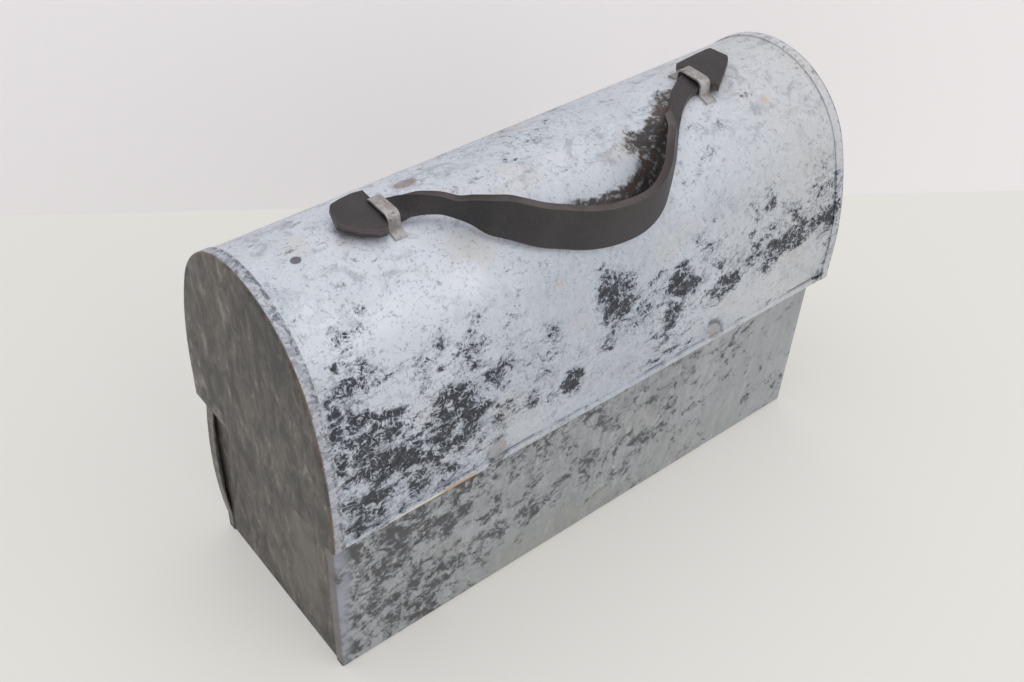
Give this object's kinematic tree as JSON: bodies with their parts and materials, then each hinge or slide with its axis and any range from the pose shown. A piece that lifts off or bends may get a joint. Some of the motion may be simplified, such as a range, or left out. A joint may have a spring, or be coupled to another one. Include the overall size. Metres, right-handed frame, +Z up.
{
  "type": "lunch_box",
  "caption": "Dome-top lunch box in soldered sheet steel with turned and folded seams, hinged lid, leather strap handle, hasp and staple, and a wire bail for a bottle in the lid",
  "frame": {"origin": "centre of the underside of the body", "axes": "+X along the box, to the right when the hinge side is faced; +Y from the hinge side to the latch side; +Z up"},
  "size_m": [0.261, 0.1084, 0.1907],
  "materials": {
    "worn_tin": "worn flaking paint over dull tinned sheet",
    "bare_tin": "dull tinned strip",
    "steel_wire": "dull steel wire",
    "strap_leather": "smooth worn dark leather with lighter cut edges"
  },
  "bodies": {
    "body": {"body_wrap": "worn_tin", "body_end_left": "worn_tin", "body_end_right": "worn_tin", "hinge_body_leaf_left": "bare_tin", "hinge_body_leaf_right": "bare_tin", "hinge_pin_left": "steel_wire", "hinge_pin_right": "steel_wire", "staple": "steel_wire"},
    "lid": {"lid_dome": "worn_tin", "lid_end_left": "worn_tin", "lid_end_right": "worn_tin", "hinge_lid_leaf_left": "bare_tin", "hinge_lid_leaf_right": "bare_tin", "keeper_left": "bare_tin", "keeper_right": "bare_tin", "strap_head_left": "strap_leather", "strap_head_right": "strap_leather", "hasp_plate": "bare_tin", "hasp_pin": "steel_wire", "bail_eyes": "bare_tin", "bail_clip": "bare_tin"},
    "handle": {"strap_grip": "strap_leather"},
    "hasp_flap": {"hasp": "bare_tin"},
    "bail": {"bottle_bail": "steel_wire"}
  },
  "joints": [
    {"name": "lid_hinge", "type": "hinge", "parent": "body", "child": "lid", "pos_m": [0, -0.0486, 0.0829], "axis": [1, 0, 0], "range_deg": [0, 105]},
    {"name": "handle_swing", "type": "hinge", "parent": "lid", "child": "handle", "pos_m": [0, -0.0051, 0.1784], "axis": [-1, 0, 0], "range_deg": [0, 153]},
    {"name": "hasp_swing", "type": "hinge", "parent": "lid", "child": "hasp_flap", "pos_m": [0, 0.04955, 0.097], "axis": [-1, 0, 0], "range_deg": [0, 183]},
    {"name": "bail_swing", "type": "hinge", "parent": "lid", "child": "bail", "pos_m": [0, 0.04484, 0.103], "axis": [1, 0, 0], "range_deg": [0, 75]}
  ]
}
